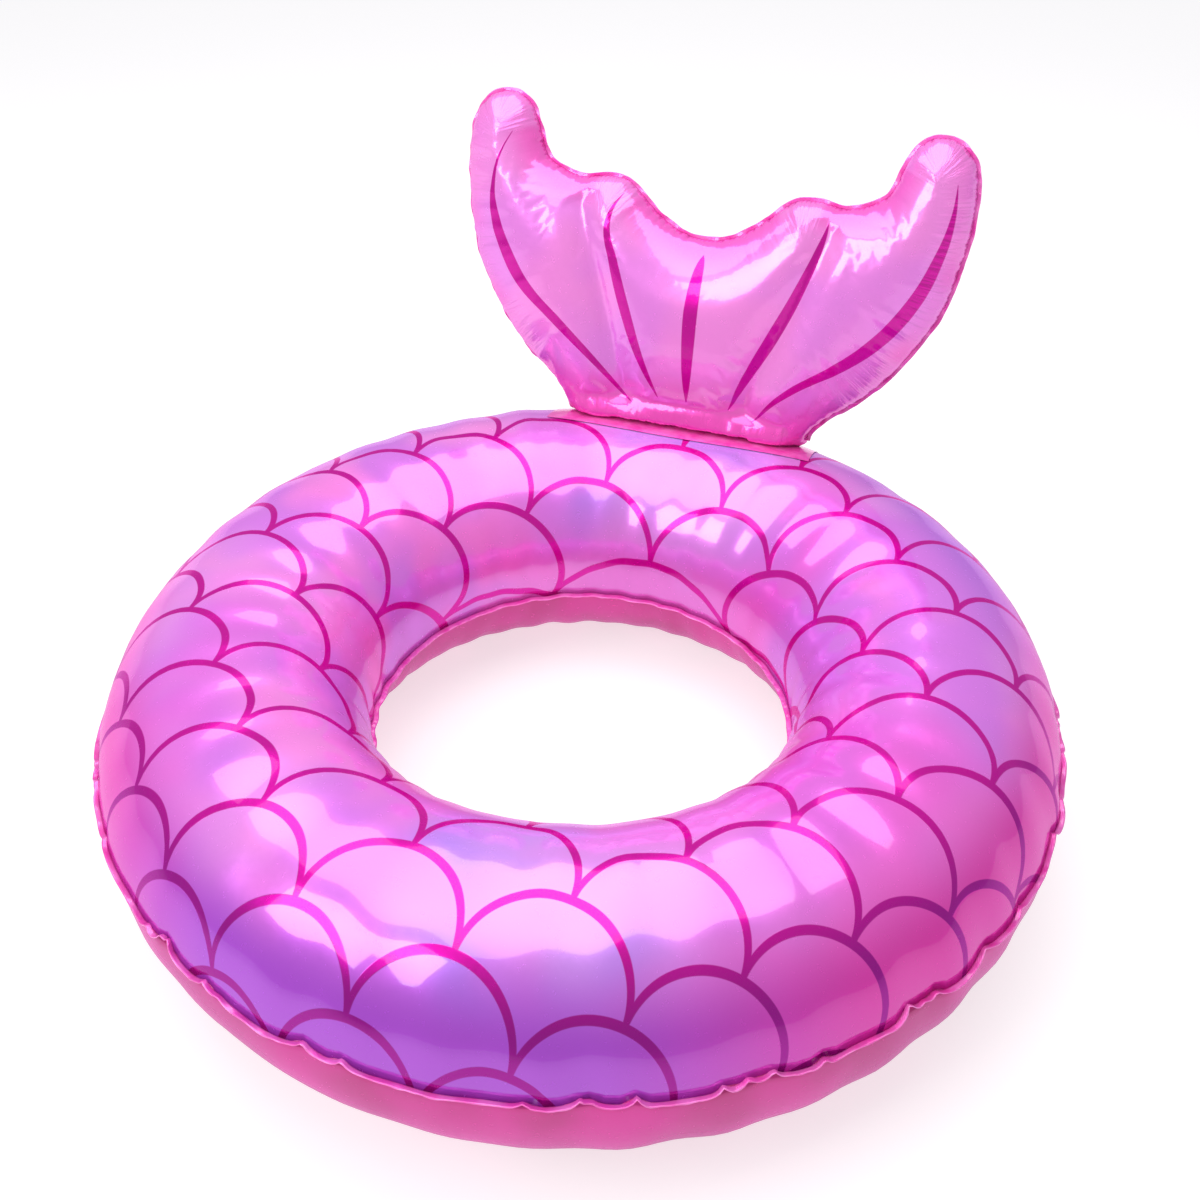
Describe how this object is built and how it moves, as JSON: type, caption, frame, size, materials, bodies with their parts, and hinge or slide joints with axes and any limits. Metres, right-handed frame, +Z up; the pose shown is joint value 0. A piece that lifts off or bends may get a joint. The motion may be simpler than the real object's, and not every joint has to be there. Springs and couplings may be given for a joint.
{
  "type": "inflatable swim ring",
  "caption": "Inflatable vinyl swim ring with a round seat opening and a tilting fluke-shaped backrest, each with its own stoppered air valve.",
  "frame": {"origin": "on the ring's axis, at the level of the floor that it rests on", "axes": "+Z up along the ring's axis; the backrest stands at +Y, and -Y is the front"},
  "size_m": [0.9265, 0.9293, 0.5715],
  "materials": {
    "printed_film": "glossy translucent lilac-pink film with printed magenta fish-scale arcs",
    "clear_pink_film": "glossy translucent hot pink film",
    "tail_film": "glossy translucent pale pink film with five printed magenta blades",
    "weld": "puckered welded double film",
    "valve_vinyl": "soft satin vinyl"
  },
  "bodies": {
    "ring": {"ring_upper_film": "printed_film", "ring_lower_film": "clear_pink_film", "ring_outer_seam": "weld", "ring_inner_seam": "weld", "tail_weld_flange": "weld", "ring_valve_base": "valve_vinyl"},
    "ring_stem": {"ring_valve_stem": "valve_vinyl"},
    "ring_plug": {"ring_valve_plug": "valve_vinyl", "ring_valve_strap": "valve_vinyl"},
    "ring_flap": {"ring_valve_flap": "valve_vinyl"},
    "tail": {"tail_front_film": "tail_film", "tail_back_film": "tail_film", "tail_edge_seam": "weld", "tail_hem": "weld", "tail_left_web": "clear_pink_film", "tail_right_web": "clear_pink_film", "tail_valve_base": "valve_vinyl"},
    "tail_stem": {"tail_valve_stem": "valve_vinyl"},
    "tail_plug": {"tail_valve_plug": "valve_vinyl", "tail_valve_strap": "valve_vinyl"},
    "tail_flap": {"tail_valve_flap": "valve_vinyl"}
  },
  "joints": [
    {"name": "tail_tilt", "type": "hinge", "parent": "ring", "child": "tail", "pos_m": [0, 0.36753, 0.24748], "axis": [-1, 0, 0], "range_deg": [-15, 30], "stiffness_Nm_per_rad": 4},
    {"name": "ring_stem_slide", "type": "slide", "parent": "ring", "child": "ring_stem", "axis": [0, 0.866, -0.5], "range_m": [-0.01, 0]},
    {"name": "ring_plug_swing", "type": "hinge", "parent": "ring_stem", "child": "ring_plug", "pos_m": [0, 0.44618, 0.04366], "axis": [-1, 0, 0], "range_deg": [0, 150]},
    {"name": "ring_flap_swing", "type": "hinge", "parent": "ring_stem", "child": "ring_flap", "pos_m": [0, 0.43035, 0.06135], "axis": [1, 0, 0], "range_deg": [0, 50], "stiffness_Nm_per_rad": 0.0005},
    {"name": "tail_stem_slide", "type": "slide", "parent": "tail", "child": "tail_stem", "axis": [0, 0.9659, -0.2588], "range_m": [-0.01, 0]},
    {"name": "tail_plug_swing", "type": "hinge", "parent": "tail_stem", "child": "tail_plug", "pos_m": [0, 0.44826, 0.31695], "axis": [-1, 0, 0], "range_deg": [0, 150]},
    {"name": "tail_flap_swing", "type": "hinge", "parent": "tail_stem", "child": "tail_flap", "pos_m": [0, 0.4284, 0.32993], "axis": [1, 0, 0], "range_deg": [0, 50], "stiffness_Nm_per_rad": 0.0005}
  ]
}
